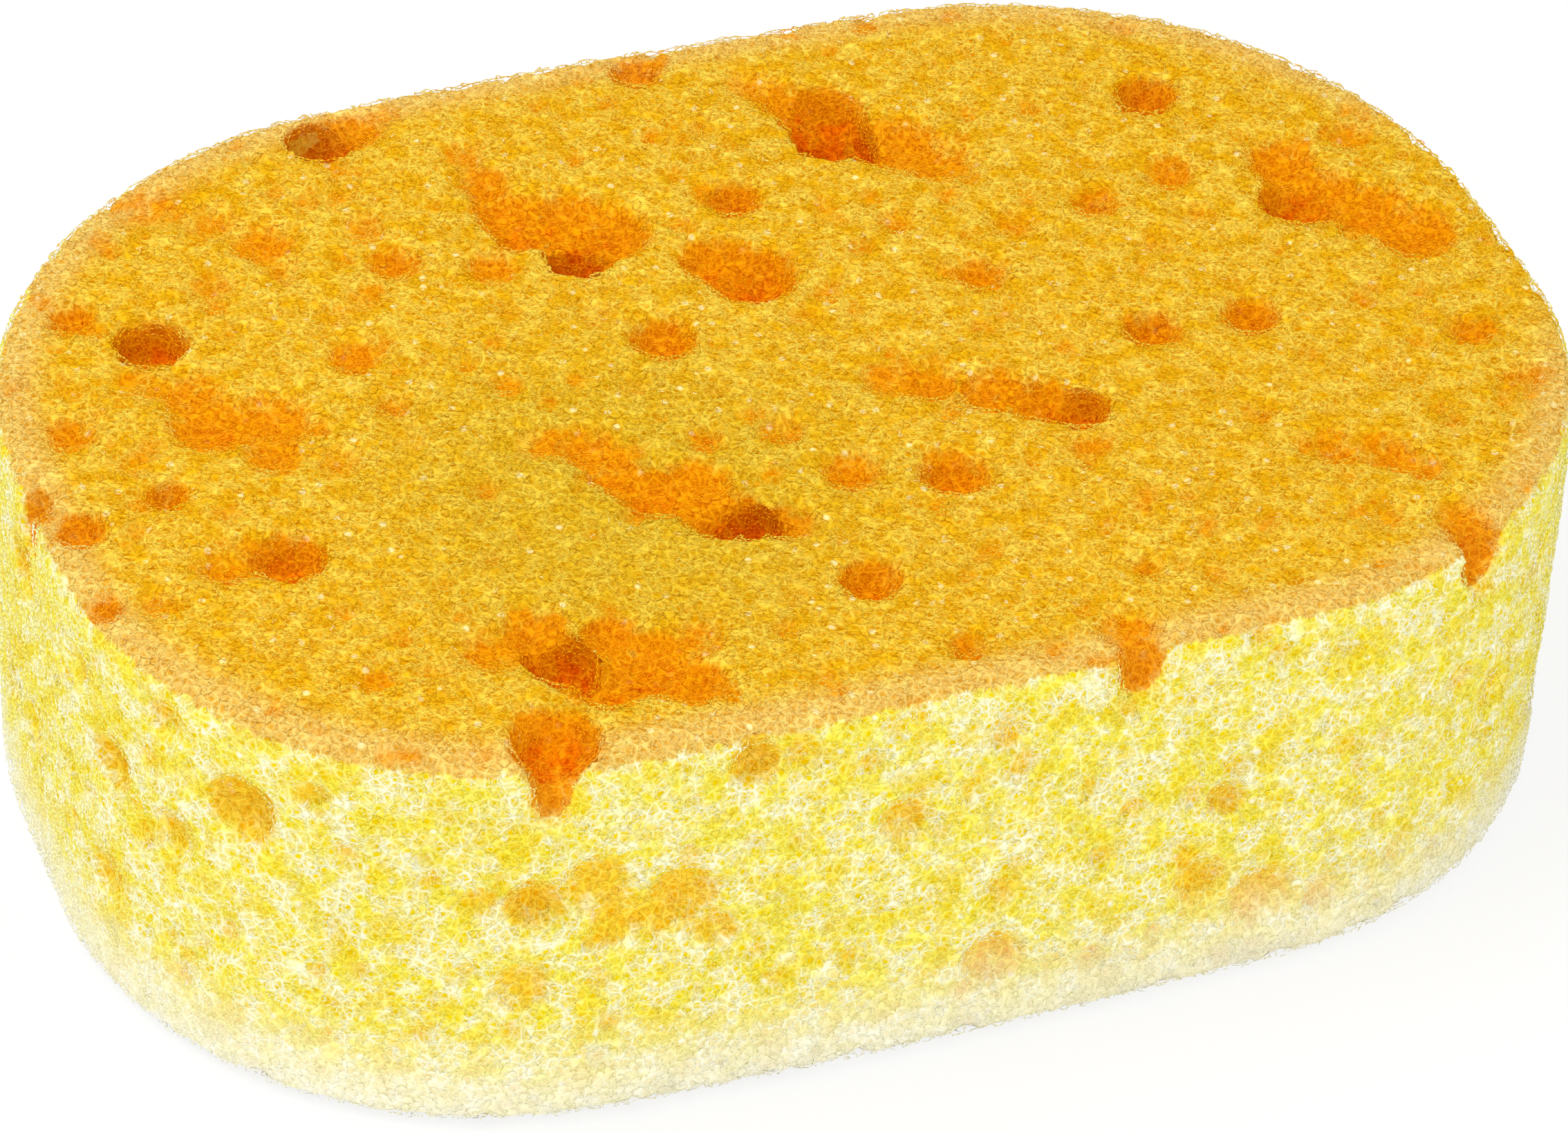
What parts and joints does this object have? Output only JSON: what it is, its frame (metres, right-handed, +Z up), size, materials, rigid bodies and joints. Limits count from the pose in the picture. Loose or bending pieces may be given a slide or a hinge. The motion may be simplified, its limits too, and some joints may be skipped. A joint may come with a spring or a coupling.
{
  "type": "bath sponge",
  "caption": "Rounded oblong bath sponge, a single block of large-pored yellow foam, to be squeezed and wiped with by hand.",
  "frame": {"origin": "middle of the underside, on the surface that the sponge lies on", "axes": "+X along the length, +Z up through the thickness, -Y towards the long side with the notched rim"},
  "size_m": [0.15, 0.104, 0.044],
  "materials": {
    "foam": "matt open-cell foam, golden on the top cut and pale lemon on the wall"
  },
  "bodies": {
    "root": {"sponge": "foam"}
  },
  "joints": []
}
